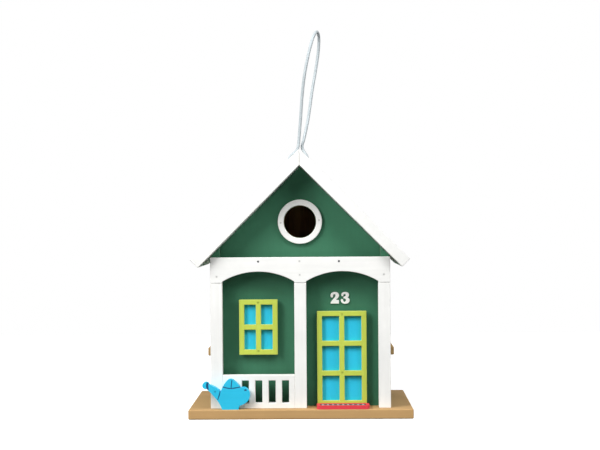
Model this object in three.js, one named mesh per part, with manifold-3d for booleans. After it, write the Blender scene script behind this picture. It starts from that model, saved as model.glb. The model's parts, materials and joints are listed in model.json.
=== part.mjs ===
// A painted wooden birdhouse shaped like a cottage with a porch, hung by a cord loop.
// Millimetres, +Z up. The front faces -Y. The origin is the centre of the base's underside.

import * as THREE from 'three';
import { mergeVertices } from 'three/addons/utils/BufferGeometryUtils.js';
import Module from 'manifold-3d';

const wasm = await Module();
wasm.setup();

// ---------------------------------------------------------------- driving dimensions

const GAP = 0.3;                      // clearance where a piece is cut round its neighbour
const THROUGH = 1;                    // how far a cutter stands out of the board that it passes through
const FACETS = { entrance: 72, knuckle: 20, bore: 16, pin: 12, brad: 10 };   // sides of round shapes
const BOARD = 9;                      // thickness of the wall and porch boards

const BASE = { width: 221, depth: 155, thick: 9.7, bevel: 1.2 };
const FLOOR = BASE.thick;             // top of the base board

const FRONT = -68.5;                  // front face of the porch frame
const WALL_FRONT = -50.5;             // front face of the front wall
const REAR = 52;                      // rear face of the back wall
const HALF = 88.8;                    // half the width over the side walls

const ROOF = { thick: 11.2, apex: 265, eave: 108.2, front: -76.5, rear: 57 };
const ROOF_UNDER = ROOF.apex - ROOF.thick * Math.SQRT2;   // height of the inner apex
const RIDGE_SEAM = 0.15;              // half the hairline gap where the two boards are mitred

const PORCH = { post: 11.8, joint: 133.4, top: 158.6, spring: 134.7, crown: 144.5 };
const RAIL = { top: 42.6, slots: 5, pitch: 13.2, slot: 7, low: 14.9, high: 37.2 };
const SPACER = { low: 149.5, high: 158.5, tongue: 136, half: 5.6 };

const HOLE = { z: 193.6, radius: 16 };  // entrance hole, 32 mm across
const RING = { radius: 22.1, eye: 16.3, thick: 3.5 };

const WINDOW = { left: -61, right: -22.7, low: 61.6, high: 116.4, stile: 5.1, bar: 5.1 };
const DOOR = { left: 16.3, right: 65.6, low: 10.6, high: 104.6, stile: 5.1, bar: 5.2 };
const JOINERY = { backing: 3, frame: 4, inset: 1.4 };     // backing board and frame thickness

const MAT = { left: 15.7, right: 67.5, front: -77, rear: -58.2, thick: 3.6, corner: 3 };
const INLAY = { border: 3.3, recess: 1.2, thick: 0.8 };

const CAN_THICK = 7.5;
const FIGURES = { low: 111.4, thick: 1.5, two: 30.1, three: 40.3 };   // left edges of the figures

const SIDE_WINDOW = { half: 19, low: 66.7, high: 109, bar: 4.4, inset: 1, backing: 0.8, frame: 1.6 };
const SILL = { half: 25, low: 57.8, high: 66, reach: 5.8 };

const HATCH = { half: 42, low: 24, high: 104, side: 0.8, top: 0.8, bottom: 1.3 };
const HINGE = { x: 27, half: 8, middle: 3.1, leaf: 10, plate: 0.8, knuckle: 1.7, swing: 0.4, bore: 1 };
const PIN = { radius: 0.7, proud: 0.5 };
const HINGE_AXIS = { y: REAR + HINGE.knuckle + 0.1, z: HATCH.high - HATCH.top / 2 };
const BUTTON = { x: 51, z: 42, length: 30, width: 9, thick: 5, gap: 0.5, bore: 1.5 };
const SCREW = { shank: 1.2, head: 3, crown: 1.5, depth: 6, arcs: 5 };

const BRAD = { radius: 0.8, length: 13, proud: 0.15 };
const CORD = { radius: 1.5, sides: 8, steps: 76, hole: 2.2, knot: 5.2 };
const CORD_Y = -6;                    // the cord holes are near the middle of the roof's depth
const CORD_HOLES = [-11.5, 8];        // distances of the cord holes from the ridge

// The hanging cord's centreline, from the left knot over the loop to the right knot.
const CORD_ROUTE = [
  [-11.5, -6, 235], [-11.5, -6, 245], [-11.5, -6, 254], [-11.2, -6, 258.3], [-9.2, -6.2, 262.2],
  [-6, -6.6, 264.9], [-3.1, -7.2, 267.8], [-1.6, -8, 272.5], [-1, -9.2, 278.1], [0.8, -14, 298.2],
  [3.3, -20.5, 328.3], [6.2, -23.8, 348.4], [10.6, -22.8, 369.1], [14.8, -16.6, 383.6],
  [18.3, -6, 389.7], [20.2, 4.8, 385.9], [19.8, 10.8, 373.4], [16.8, 12.4, 352.7], [13.1, 10.2, 331.6],
  [8.4, 4.5, 299.8], [3.9, -1.6, 278.6], [2.2, -3.6, 272.4], [2.9, -4.7, 268.4], [4.9, -5.5, 264.9],
  [7.1, -6, 261.2], [8, -6, 256.5], [8, -6, 246], [8, -6, 238.2],
];

// ---------------------------------------------------------------- finishes

function finish(color, roughness, metalness = 0) {
  return new THREE.MeshStandardMaterial({ color, roughness, metalness });
}

const GREEN = finish('#33714f', 0.7);
const WHITE = finish('#f4f4f1', 0.65);
const TAN = finish('#b8935f', 0.7);
const LIME = finish('#c6d24a', 0.6);
const BLUE = finish('#22b7df', 0.55);
const RED = finish('#dc3c46', 0.7);
const TEAL = finish('#1f5a5e', 0.7);
const CORD_WHITE = finish('#d9dcdd', 0.8);
const STEEL = finish('#8f9194', 0.4, 0.9);
const ZINC = finish('#b9bcc0', 0.35, 0.9);

// ---------------------------------------------------------------- making and joining shapes

const birdhouse = new THREE.Group();
birdhouse.name = 'birdhouse';

function add(name, geometry, material, position = [0, 0, 0]) {
  const mesh = new THREE.Mesh(geometry, material);
  mesh.name = name;
  mesh.position.set(...position);
  birdhouse.add(mesh);
  return mesh;
}

// A box between two corners.
function block([x0, x1], [y0, y1], [z0, z1]) {
  const geometry = new THREE.BoxGeometry(x1 - x0, y1 - y0, z1 - z0);
  return geometry.translate((x0 + x1) / 2, (y0 + y1) / 2, (z0 + z1) / 2);
}

// An outline drawn in X and Z, given a thickness back from the plane y = front.
function upright(shape, front, thick, curveSegments = 24) {
  const geometry = new THREE.ExtrudeGeometry(shape, { depth: thick, bevelEnabled: false, curveSegments });
  return geometry.rotateX(Math.PI / 2).translate(0, front + thick, 0);
}

function outline(points) {
  return new THREE.Shape(points.map(([x, y]) => new THREE.Vector2(x, y)));
}

function rectangle(x0, x1, z0, z1) {
  return outline([[x0, z0], [x1, z0], [x1, z1], [x0, z1]]);
}

function roundedRectangle(x0, x1, y0, y1, radius) {
  const shape = new THREE.Shape();
  shape.absarc(x1 - radius, y0 + radius, radius, -Math.PI / 2, 0);
  shape.absarc(x1 - radius, y1 - radius, radius, 0, Math.PI / 2);
  shape.absarc(x0 + radius, y1 - radius, radius, Math.PI / 2, Math.PI);
  shape.absarc(x0 + radius, y0 + radius, radius, Math.PI, Math.PI * 1.5);
  return shape;
}

// A round bar along X, Y or Z from a starting point.
function rod(axis, radius, length, [x, y, z], sides) {
  const geometry = new THREE.CylinderGeometry(radius, radius, length, sides).translate(0, length / 2, 0);
  if (axis === 'x') geometry.rotateZ(-Math.PI / 2);
  if (axis === 'z') geometry.rotateX(Math.PI / 2);
  return geometry.translate(x, y, z);
}

function toSolid(geometry) {
  const bare = geometry.clone();
  bare.deleteAttribute('normal');
  bare.deleteAttribute('uv');
  const merged = mergeVertices(bare, 1e-4);
  return new wasm.Manifold(new wasm.Mesh({
    numProp: 3,
    vertProperties: new Float32Array(merged.attributes.position.array),
    triVerts: new Uint32Array(merged.index.array),
  }));
}

function toGeometry(solid) {
  const mesh = solid.getMesh();
  const geometry = new THREE.BufferGeometry();
  geometry.setAttribute('position', new THREE.BufferAttribute(mesh.vertProperties, 3));
  geometry.setIndex(new THREE.BufferAttribute(mesh.triVerts, 1));
  geometry.computeVertexNormals();
  return geometry;
}

function cut(geometry, ...tools) {
  return toGeometry(tools.reduce((solid, tool) => solid.subtract(toSolid(tool)), toSolid(geometry)));
}

function join(first, ...others) {
  return toGeometry(others.reduce((solid, other) => solid.add(toSolid(other)), toSolid(first)));
}

// ---------------------------------------------------------------- brad nails

// Each brad is driven straight back from the face of the piece that it holds.
const BRADS = [
  { name: 'brad_beam_left', x: -41.3, z: 154.4, face: FRONT },
  { name: 'brad_beam_middle', x: -0.6, z: 154.6, face: FRONT },
  { name: 'brad_beam_right', x: 38.4, z: 154.4, face: FRONT },
  { name: 'brad_post_left', x: -82.4, z: 139.6, face: FRONT },
  { name: 'brad_post_middle', x: -0.3, z: 141.1, face: FRONT },
  { name: 'brad_post_right', x: 82.6, z: 141.1, face: FRONT },
  { name: 'brad_window_top', x: -42, z: 113.4, face: WALL_FRONT - JOINERY.backing - JOINERY.frame },
  { name: 'brad_window_bottom', x: -41.8, z: 65.2, face: WALL_FRONT - JOINERY.backing - JOINERY.frame },
  { name: 'brad_door_top', x: 41.4, z: 101.4, face: WALL_FRONT - JOINERY.backing - JOINERY.frame },
  { name: 'brad_door_bottom', x: 41.4, z: 43.4, face: WALL_FRONT - JOINERY.backing - JOINERY.frame },
  { name: 'brad_ring_left', x: -19.2, z: HOLE.z - 0.9, face: WALL_FRONT - RING.thick },
  { name: 'brad_ring_right', x: 19.2, z: HOLE.z + 1.4, face: WALL_FRONT - RING.thick },
  { name: 'brad_can', x: -84, z: 27.4, face: FRONT - CAN_THICK },
];

function makeBrads() {
  for (const { name, x, z, face } of BRADS) {
    add(name, rod('y', BRAD.radius, BRAD.length, [0, 0, 0], FACETS.brad), STEEL, [x, face - BRAD.proud, z]);
  }
}

// The same board with a clearance hole for every brad that passes through it.
function drilled(geometry) {
  const bits = BRADS.map(({ x, z, face }) =>
    rod('y', BRAD.radius + GAP, BRAD.length + 2 * GAP, [x, face - BRAD.proud - GAP, z], FACETS.brad));
  return cut(geometry, ...bits);
}

// ---------------------------------------------------------------- base, walls and roof

function makeBase() {
  const { width, depth, thick, bevel } = BASE;
  const shape = rectangle(-width / 2 + bevel, width / 2 - bevel, -depth / 2 + bevel, depth / 2 - bevel);
  const geometry = new THREE.ExtrudeGeometry(shape, {
    depth: thick - 2 * bevel, bevelThickness: bevel, bevelSize: bevel, bevelSegments: 2,
  });
  add('base_board', geometry.translate(0, 0, bevel), TAN);
}

// Height of the roof's underside over a distance from the middle, less the joint's clearance.
function underRoof(x) {
  return ROOF_UNDER - Math.abs(x) - GAP * Math.SQRT2;
}

function gable(halfWidth) {
  return outline([
    [-halfWidth, FLOOR], [halfWidth, FLOOR], [halfWidth, underRoof(halfWidth)],
    [0, underRoof(0)], [-halfWidth, underRoof(halfWidth)],
  ]);
}

function makeWalls() {
  const inner = HALF - BOARD;
  const entrance = rod('y', HOLE.radius, BOARD + 2 * THROUGH,
    [0, WALL_FRONT - THROUGH, HOLE.z], FACETS.entrance);
  add('front_wall', cut(drilled(upright(gable(inner), WALL_FRONT, BOARD)), entrance), GREEN);

  const doorway = block(
    [-HATCH.half, HATCH.half], [REAR - BOARD - THROUGH, REAR + THROUGH], [HATCH.low, HATCH.high]);
  const pilot = rod('y', SCREW.shank + GAP, SCREW.depth + GAP + THROUGH,
    [BUTTON.x, REAR - SCREW.depth - GAP, BUTTON.z], FACETS.bore);
  add('back_wall', cut(upright(gable(inner), REAR - BOARD, BOARD), doorway, pilot), GREEN);

  const sideDepth = REAR - (FRONT + BOARD);
  for (const [name, side] of [['side_wall_left', -1], ['side_wall_right', 1]]) {
    const section = outline([
      [side * inner, FLOOR], [side * HALF, FLOOR],
      [side * HALF, underRoof(HALF)], [side * inner, underRoof(inner)],
    ]);
    add(name, drilled(upright(section, FRONT + BOARD, sideDepth)), GREEN);
  }
}

function makeRoof() {
  const drop = ROOF.thick / Math.SQRT2;
  const eaveZ = ROOF.apex - ROOF.eave;
  CORD_HOLES.forEach((holeX) => {
    const side = Math.sign(holeX);
    const section = outline([
      [side * RIDGE_SEAM, ROOF.apex - RIDGE_SEAM], [side * ROOF.eave, eaveZ],
      [side * (ROOF.eave - drop), eaveZ - drop], [side * RIDGE_SEAM, ROOF_UNDER - RIDGE_SEAM],
    ]);
    const board = upright(section, ROOF.front, ROOF.rear - ROOF.front);
    const foot = ROOF_UNDER - 2 * Math.abs(holeX);
    const cordHole = rod('z', CORD.hole, ROOF.apex - foot, [holeX, CORD_Y, foot], FACETS.bore);
    add(side < 0 ? 'roof_board_left' : 'roof_board_right', cut(board, cordHole), WHITE);
  });
}

function makeEntranceRing() {
  const shape = new THREE.Shape();
  shape.absarc(0, HOLE.z, RING.radius, 0, Math.PI * 2);
  const eye = new THREE.Path();
  eye.absarc(0, HOLE.z, RING.eye, 0, Math.PI * 2);
  shape.holes.push(eye);
  add('entrance_ring', drilled(upright(shape, WALL_FRONT - RING.thick, RING.thick, FACETS.entrance)), WHITE);
}

// ---------------------------------------------------------------- porch

// A beam with one shallow arch over each bay, cut from a single board.
function beamOutline() {
  const near = PORCH.post / 2;
  const far = HALF - PORCH.post;
  const middle = (near + far) / 2;
  const rise = PORCH.crown - PORCH.spring;
  const radius = (((far - near) / 2) ** 2 + rise ** 2) / (2 * rise);
  const half = Math.asin((far - near) / 2 / radius);
  const shape = new THREE.Shape();
  shape.moveTo(-HALF, PORCH.joint);
  for (const side of [-1, 1]) {
    const outer = side * middle - (far - near) / 2;
    const inner = side * middle + (far - near) / 2;
    shape.lineTo(outer, PORCH.joint);
    shape.lineTo(outer, PORCH.spring);
    shape.absarc(side * middle, PORCH.crown - radius, radius, Math.PI / 2 + half, Math.PI / 2 - half, true);
    shape.lineTo(inner, PORCH.joint);
  }
  shape.lineTo(HALF, PORCH.joint);
  shape.lineTo(HALF, PORCH.top);
  shape.lineTo(-HALF, PORCH.top);
  return shape;
}

// A low railing sawn from one board, with a row of upright slots.
function makeRailing(left, right) {
  const middle = (left + right) / 2;
  const slots = [];
  for (let i = 0; i < RAIL.slots; i += 1) {
    const x = middle + (i - (RAIL.slots - 1) / 2) * RAIL.pitch;
    slots.push(block([x - RAIL.slot / 2, x + RAIL.slot / 2],
      [FRONT - THROUGH, FRONT + BOARD + THROUGH], [RAIL.low, RAIL.high]));
  }
  const board = block([left, right], [FRONT, FRONT + BOARD], [FLOOR, RAIL.top]);
  add('porch_railing', cut(board, ...slots), WHITE);
}

function makePorch() {
  add('porch_beam', drilled(upright(beamOutline(), FRONT, BOARD)), WHITE);

  const outerPost = HALF - PORCH.post / 2;
  for (const [name, x] of [['left', -outerPost], ['middle', 0], ['right', outerPost]]) {
    const post = block([x - PORCH.post / 2, x + PORCH.post / 2],
      [FRONT, FRONT + BOARD], [FLOOR, PORCH.joint - GAP]);
    add(`porch_post_${name}`, drilled(post), WHITE);
  }

  makeRailing(-(HALF - PORCH.post), -PORCH.post / 2);

  // The strip between the beam and the wall, with a tongue down behind the middle post's top.
  const inner = HALF - BOARD;
  const { low, high, tongue, half } = SPACER;
  const strip = outline([
    [-inner, high], [-inner, low], [-half, low], [-half, tongue],
    [half, tongue], [half, low], [inner, low], [inner, high],
  ]);
  add('porch_spacer', drilled(upright(strip, FRONT + BOARD, WALL_FRONT - FRONT - BOARD)), GREEN);
}

// ---------------------------------------------------------------- windows and door

// A frame with a grid of openings, centred on x = 0 and standing on z = 0, from y = 0 back.
function lattice({ left, right, low, high, stile, bar }, thick, columns, rows) {
  const width = right - left;
  const height = high - low;
  const paneWidth = (width - 2 * stile - (columns - 1) * bar) / columns;
  const paneHeight = (height - 2 * stile - (rows - 1) * bar) / rows;
  const openings = [];
  for (let column = 0; column < columns; column += 1) {
    for (let row = 0; row < rows; row += 1) {
      const x = -width / 2 + stile + column * (paneWidth + bar);
      const z = stile + row * (paneHeight + bar);
      openings.push(block([x, x + paneWidth], [-THROUGH, thick + THROUGH], [z, z + paneHeight]));
    }
  }
  return cut(block([-width / 2, width / 2], [0, thick], [0, height]), ...openings);
}

function makeJoinery(name, size, columns, rows) {
  const { backing, frame, inset } = JOINERY;
  const back = rectangle(size.left + inset, size.right - inset, size.low + inset, size.high - inset);
  add(`${name}_panes`, drilled(upright(back, WALL_FRONT - backing, backing)), BLUE);
  const grid = lattice(size, frame, columns, rows);
  grid.translate((size.left + size.right) / 2, WALL_FRONT - backing - frame, size.low);
  add(`${name}_frame`, drilled(grid), LIME);
}

// A thinner window and a sill on the outside of each side wall.
function makeSideWindows() {
  const { half, low, high, bar, inset, backing, frame } = SIDE_WINDOW;
  const size = { left: -half, right: half, low, high, stile: bar, bar };
  for (const [name, side] of [['left', -1], ['right', 1]]) {
    const start = (distance, thick) => side * HALF + (side > 0 ? distance : -distance - thick);
    const backStart = start(0, backing);
    const panes = block(
      [backStart, backStart + backing], [inset - half, half - inset], [low + inset, high - inset]);
    add(`side_window_panes_${name}`, panes, BLUE);
    const grid = lattice(size, frame, 2, 2).rotateZ(side * Math.PI / 2);
    grid.translate(side * (HALF + backing + frame), 0, low);
    add(`side_window_frame_${name}`, grid, LIME);
    const sillStart = start(0, SILL.reach);
    add(`side_sill_${name}`,
      block([sillStart, sillStart + SILL.reach], [-SILL.half, SILL.half], [SILL.low, SILL.high]), TAN);
  }
}

// ---------------------------------------------------------------- mat, can and house number

function makeDoorMat() {
  const { left, right, front, rear, thick, corner } = MAT;
  const { border, recess } = INLAY;
  const slab = new THREE.ExtrudeGeometry(roundedRectangle(left, right, front, rear, corner),
    { depth: thick, bevelEnabled: false, curveSegments: 6 });
  const pocket = block(
    [left + border, right - border], [front + border, rear - border], [thick - recess, thick + THROUGH]);
  add('door_mat', cut(slab, pocket), RED, [0, 0, FLOOR]);
  const strip = block(
    [left + border + GAP, right - border - GAP], [front + border + GAP, rear - border - GAP],
    [thick - recess, thick - recess + INLAY.thick]);
  add('mat_inlay', strip, TEAL, [0, 0, FLOOR]);
}

// A flat cut-out of a watering can: body, domed lid, spout with a rose, and a handle lobe.
function makeWateringCan() {
  const shape = new THREE.Shape();
  shape.moveTo(-77.3, FLOOR);
  shape.lineTo(-61.1, FLOOR);
  shape.lineTo(-60.3, 13.3);
  shape.bezierCurveTo(-54.8, 15, -49.9, 18, -49.9, 23.6);
  shape.bezierCurveTo(-49.9, 29.2, -53.4, 32.6, -59.1, 31.1);
  shape.quadraticCurveTo(-61.4, 35.2, -66.4, 39);
  shape.quadraticCurveTo(-68.8, 40.2, -71.2, 39);
  shape.quadraticCurveTo(-76.4, 34.6, -78.3, 27.3);
  shape.quadraticCurveTo(-83.4, 32.4, -89.7, 34.1);
  shape.absarc(-93.1, 33.3, 3.5, 0.24, -1.3);
  shape.quadraticCurveTo(-86.8, 24.8, -81.8, 18.6);
  shape.quadraticCurveTo(-78.6, 14.4, -77.3, FLOOR);
  add('watering_can', drilled(upright(shape, FRONT - CAN_THICK, CAN_THICK, 8)), BLUE);
}

// The figures are drawn from their own lower left corner.
function figureTwo() {
  const shape = new THREE.Shape();
  shape.moveTo(1.3, 6.3);
  shape.bezierCurveTo(-0.1, 6.3, -0.2, 8.4, 0, 9);
  shape.bezierCurveTo(0.3, 11, 2.3, 11.9, 4.4, 11.9);
  shape.bezierCurveTo(6.9, 11.9, 8.5, 10.4, 8.5, 8.4);
  shape.bezierCurveTo(8.5, 6.6, 7, 5.4, 5.3, 4);
  shape.lineTo(8.4, 3.8);
  shape.lineTo(8.3, 0.2);
  shape.lineTo(0, 0.2);
  shape.lineTo(0.2, 1.8);
  shape.bezierCurveTo(1.8, 4.6, 4.9, 6, 4.9, 8.6);
  shape.bezierCurveTo(4.9, 10.1, 2.6, 10, 2.6, 8.4);
  shape.bezierCurveTo(2.7, 7, 2.2, 6.3, 1.3, 6.3);
  return shape;
}

function figureThree() {
  const shape = new THREE.Shape();
  shape.moveTo(1.5, 7.5);
  shape.bezierCurveTo(0.6, 7.6, 0.4, 9, 0.6, 9.6);
  shape.bezierCurveTo(1.1, 11.2, 2.7, 11.9, 4.4, 11.9);
  shape.bezierCurveTo(6.8, 11.9, 8.3, 10.7, 8.3, 9);
  shape.bezierCurveTo(8.3, 7.7, 7.6, 6.8, 6.6, 6.4);
  shape.bezierCurveTo(8.1, 5.9, 8.8, 4.9, 8.8, 3.6);
  shape.bezierCurveTo(8.8, 1.2, 7, 0, 4.5, 0);
  shape.bezierCurveTo(1.9, 0, 0, 1.4, 0, 3.4);
  shape.bezierCurveTo(0, 4.4, 0.3, 4.8, 1.1, 4.8);
  shape.bezierCurveTo(2.3, 4.8, 2.4, 3.9, 2.4, 3.1);
  shape.bezierCurveTo(2.4, 1.7, 5.1, 1.5, 5.1, 3.6);
  shape.bezierCurveTo(5.1, 4.9, 4.2, 5.3, 2.6, 5.4);
  shape.lineTo(2.6, 7.2);
  shape.bezierCurveTo(4, 7.2, 4.9, 7.8, 4.9, 8.8);
  shape.bezierCurveTo(4.9, 10.1, 2.7, 10.1, 2.6, 8.8);
  shape.bezierCurveTo(2.5, 8, 2.2, 7.5, 1.5, 7.5);
  return shape;
}

// The house number, as two separate cut-out figures on the wall.
function makeHouseNumber() {
  const { low, thick, two, three } = FIGURES;
  const front = WALL_FRONT - thick;
  add('house_number_2', upright(figureTwo(), front, thick, 6), WHITE, [two, 0, low]);
  add('house_number_3', upright(figureThree(), front, thick, 6), WHITE, [three, 0, low]);
}

// ---------------------------------------------------------------- hanging cord

function makeCord() {
  const route = new THREE.CatmullRomCurve3(CORD_ROUTE.map((point) => new THREE.Vector3(...point)));
  const section = new THREE.Shape();
  for (let i = 0; i < CORD.sides; i += 1) {
    const angle = (i / CORD.sides) * Math.PI * 2;
    const point = [CORD.radius * Math.cos(angle), CORD.radius * Math.sin(angle)];
    if (i === 0) section.moveTo(...point);
    else section.lineTo(...point);
  }
  const geometry = new THREE.ExtrudeGeometry(section, { steps: CORD.steps, extrudePath: route });
  add('hanging_cord', geometry, CORD_WHITE);

  const ends = [CORD_ROUTE[0], CORD_ROUTE[CORD_ROUTE.length - 1]];
  ['cord_knot_left', 'cord_knot_right'].forEach((name, i) => {
    const [x, y, z] = ends[i];
    add(name, new THREE.SphereGeometry(CORD.knot, 14, 10), CORD_WHITE, [x, y, z - CORD.knot - GAP]);
  });
}

// ---------------------------------------------------------------- clean-out hatch

// One leaf of a butt hinge, with knuckles over the given stretches of the pin's length.
function hingeLeaf(direction, stretches) {
  const { half, leaf, plate, knuckle, swing, bore } = HINGE;
  const reach = knuckle + swing;
  const span = (from, to) => (direction > 0 ? [from, to] : [-to, -from]);
  const plateY = [REAR - HINGE_AXIS.y, REAR - HINGE_AXIS.y + plate];
  const pieces = [block([-half, half], plateY, span(reach, leaf))];
  for (const [from, to] of stretches) {
    pieces.push(block([from, to], plateY, span(0, reach + plate / 2)));
    pieces.push(rod('x', knuckle, to - from, [from, 0, 0], FACETS.knuckle));
  }
  return cut(join(...pieces), rod('x', bore, 2 * (half + THROUGH), [-half - THROUGH, 0, 0], FACETS.bore));
}

function makeHatch() {
  const { half, low, high, side, top, bottom } = HATCH;
  add('cleanout_hatch', block(
    [-half + side, half - side], [REAR - BOARD, REAR], [low + bottom, high - top]), GREEN);

  const { half: end, middle } = HINGE;
  const outer = [[-end, -middle - GAP], [middle + GAP, end]];
  for (const [name, x] of [['left', -HINGE.x], ['right', HINGE.x]]) {
    const place = [x, HINGE_AXIS.y, HINGE_AXIS.z];
    add(`hinge_wall_leaf_${name}`, hingeLeaf(1, outer), ZINC, place);
    add(`hinge_hatch_leaf_${name}`, hingeLeaf(-1, [[-middle, middle]]), ZINC, place);
    const pin = rod('x', PIN.radius, 2 * (end + PIN.proud), [-end - PIN.proud, 0, 0], FACETS.pin);
    add(`hinge_pin_${name}`, pin, STEEL, place);
  }
}

// A wooden turn button that swings over the hatch's edge, held by one round-headed screw.
function makeTurnButton() {
  const { x, z, length, width, thick, gap, bore } = BUTTON;
  const corner = 0.499 * width;       // a hairline short of a half circle
  const bar = roundedRectangle(x - width / 2, x + width / 2, z - length / 2, z + length / 2, corner);
  const hole = rod('y', bore, thick + 2 * THROUGH, [x, REAR + gap - THROUGH, z], FACETS.bore);
  add('turn_button', cut(upright(bar, REAR + gap, thick), hole), WHITE);

  const { shank, head, crown, depth, arcs } = SCREW;
  const seat = gap + thick + GAP;     // how far the head's underside stands from the wall
  const profile = [[0, -depth], [shank, -depth], [shank, seat], [head, seat]];
  for (let i = 1; i <= arcs; i += 1) {
    const angle = (i / arcs) * (Math.PI / 2);
    profile.push([head * Math.cos(angle), seat + crown * Math.sin(angle)]);
  }
  profile[profile.length - 1][0] = 0;
  const screw = new THREE.LatheGeometry(profile.map(([r, y]) => new THREE.Vector2(r, y)), FACETS.bore);
  add('turn_button_screw', screw, ZINC, [x, REAR, z]);
}

// ---------------------------------------------------------------- the whole birdhouse

makeBase();
makeWalls();
makeRoof();
makeEntranceRing();
makePorch();
makeJoinery('window', WINDOW, 2, 2);
makeJoinery('door', DOOR, 2, 3);
makeSideWindows();
makeDoorMat();
makeWateringCan();
makeHouseNumber();
makeCord();
makeHatch();
makeTurnButton();
makeBrads();

export default birdhouse;
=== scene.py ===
import json
import math

import bpy
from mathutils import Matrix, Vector


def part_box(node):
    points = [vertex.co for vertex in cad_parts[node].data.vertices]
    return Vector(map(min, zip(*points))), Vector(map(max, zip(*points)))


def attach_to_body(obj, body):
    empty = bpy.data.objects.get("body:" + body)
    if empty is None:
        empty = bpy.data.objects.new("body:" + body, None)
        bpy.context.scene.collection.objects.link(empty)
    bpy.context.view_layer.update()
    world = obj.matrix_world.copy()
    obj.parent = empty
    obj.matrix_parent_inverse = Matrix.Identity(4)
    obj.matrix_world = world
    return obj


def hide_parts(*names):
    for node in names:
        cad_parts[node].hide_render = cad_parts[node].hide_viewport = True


bl_info = {
    "name": "Cottage Birdhouse",
    "version": (1, 0, 0),
    "blender": (4, 5, 0),
    "location": "View3D > Sidebar > Birdhouse",
    "description": "Builds a painted wooden birdhouse with a porch around its measured frame",
    "category": "Add Mesh",
}

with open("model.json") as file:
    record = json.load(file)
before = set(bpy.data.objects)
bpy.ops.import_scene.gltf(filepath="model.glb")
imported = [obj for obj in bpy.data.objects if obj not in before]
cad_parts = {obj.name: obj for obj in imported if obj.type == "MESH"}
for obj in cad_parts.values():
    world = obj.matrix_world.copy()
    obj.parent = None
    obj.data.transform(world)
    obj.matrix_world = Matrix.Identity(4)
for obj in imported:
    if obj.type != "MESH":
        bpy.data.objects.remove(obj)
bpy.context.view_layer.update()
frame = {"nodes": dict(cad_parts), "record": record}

RECORD = frame["record"]
BODY_OF = {node: body for body, nodes in RECORD["behaviour"]["bodies"].items() for node in nodes}

MM = 0.001
SLOPE = math.sqrt(0.5)                # the roof falls at 45 degrees on both sides
SIDES = ("left", "right")
CLEAR = 10 * MM                       # how far a cutter stands out of the board that it goes through
FLAT = 0.01 * MM                      # how far a face or edge may be off a plane and still count as in it
FILL = 0.03                           # strength of the light from all round
SWEEP_SIDE = 1.9
SWEEP_GLOW = 0.45                     # so that the paper looks as white as the backdrop behind it
# The camera's place in metres, its turn about X, Y and Z in degrees, and its lens in millimetres.
CAMERA_PLACE = (0.0158, -1.3775, 0.1878)
CAMERA_TURN = (90.11, 0.38, 0.68)
CAMERA_LENS = 79.7
# Each lamp's name, azimuth from the front and height in degrees, distance and size in metres, and watts.
LAMPS = (
    ("key high", -50, 38, 1.5, 0.6, 16),
    ("key low", -40, 20, 1.5, 0.6, 10),
    ("front top", 0, 55, 1.5, 0.5, 6),
    ("fill high", 32, 40, 1.5, 0.5, 6.5),
    ("fill low", 60, 20, 1.5, 0.5, 7.5),
    ("rear left", -145, 35, 1.6, 0.8, 6),
    ("rear right", 150, 35, 1.6, 0.8, 5),
)
LAMP_AIM = Vector((0, 0, 0.15))
HINGE_PLATE = 0.8 * MM                # thickness of the hinges' leaves
SPACER_HEIGHT = 9 * MM                # height of the strip behind the porch beam
TONGUE_INSET = 0.6 * MM               # how far the spacer's tongue stays inside the middle post's sides
BRAD_HEAD = 0.95 * MM                 # radius, as are the next three
BRAD_SHANK = 0.7 * MM
BRAD_DIMPLE = 0.4 * MM
BRAD_SEAT = 1.15 * MM

# The cord's centreline, from the left knot over the loop to the right knot.
CORD_ROUTE = [
    (-0.0115, -0.006, 0.235), (-0.0115, -0.006, 0.245), (-0.0115, -0.006, 0.254),
    (-0.0112, -0.006, 0.2583), (-0.0092, -0.0062, 0.2622), (-0.006, -0.0066, 0.2649),
    (-0.0031, -0.0072, 0.2678), (-0.0016, -0.008, 0.2725), (-0.001, -0.0092, 0.2781),
    (0.0008, -0.014, 0.2982), (0.0033, -0.0205, 0.3283), (0.0062, -0.0238, 0.3484),
    (0.0106, -0.0228, 0.3691), (0.0148, -0.0166, 0.3836), (0.0183, -0.006, 0.3897),
    (0.0202, 0.0048, 0.3859), (0.0198, 0.0108, 0.3734), (0.0168, 0.0124, 0.3527),
    (0.0131, 0.0102, 0.3316), (0.0084, 0.0045, 0.2998), (0.0039, -0.0016, 0.2786),
    (0.0022, -0.0036, 0.2724), (0.0029, -0.0047, 0.2684), (0.0049, -0.0055, 0.2649),
    (0.0071, -0.006, 0.2612), (0.008, -0.006, 0.2565), (0.008, -0.006, 0.246),
    (0.008, -0.006, 0.2382),
]

# The brads that hold each board, and the only two whose heads were left unpainted.
BRADS_IN = {
    "porch_beam": ["brad_beam_left", "brad_beam_middle", "brad_beam_right",
                   "brad_post_left", "brad_post_middle", "brad_post_right"],
    "window_frame": ["brad_window_top", "brad_window_bottom"],
    "door_frame": ["brad_door_top", "brad_door_bottom"],
    "entrance_ring": ["brad_ring_left", "brad_ring_right"],
    "watering_can": ["brad_can"],
}
BARE_BRADS = ("brad_beam_left", "brad_beam_right")


def linear(code):
    """Linear colour, with alpha, of an sRGB hex code."""
    channels = [int(code[i:i + 2], 16) / 255 for i in (1, 3, 5)]
    return tuple(c / 12.92 if c <= 0.04045 else ((c + 0.055) / 1.055) ** 2.4 for c in channels) + (1.0,)


def length_property(name, millimetres, description):
    return bpy.props.FloatProperty(
        name=name, default=millimetres * MM, min=0.0, unit="LENGTH", precision=5, description=description)


def colour_property(name, code, description):
    return bpy.props.FloatVectorProperty(
        name=name, default=linear(code), size=4, min=0.0, max=1.0, subtype="COLOR", description=description)


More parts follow.
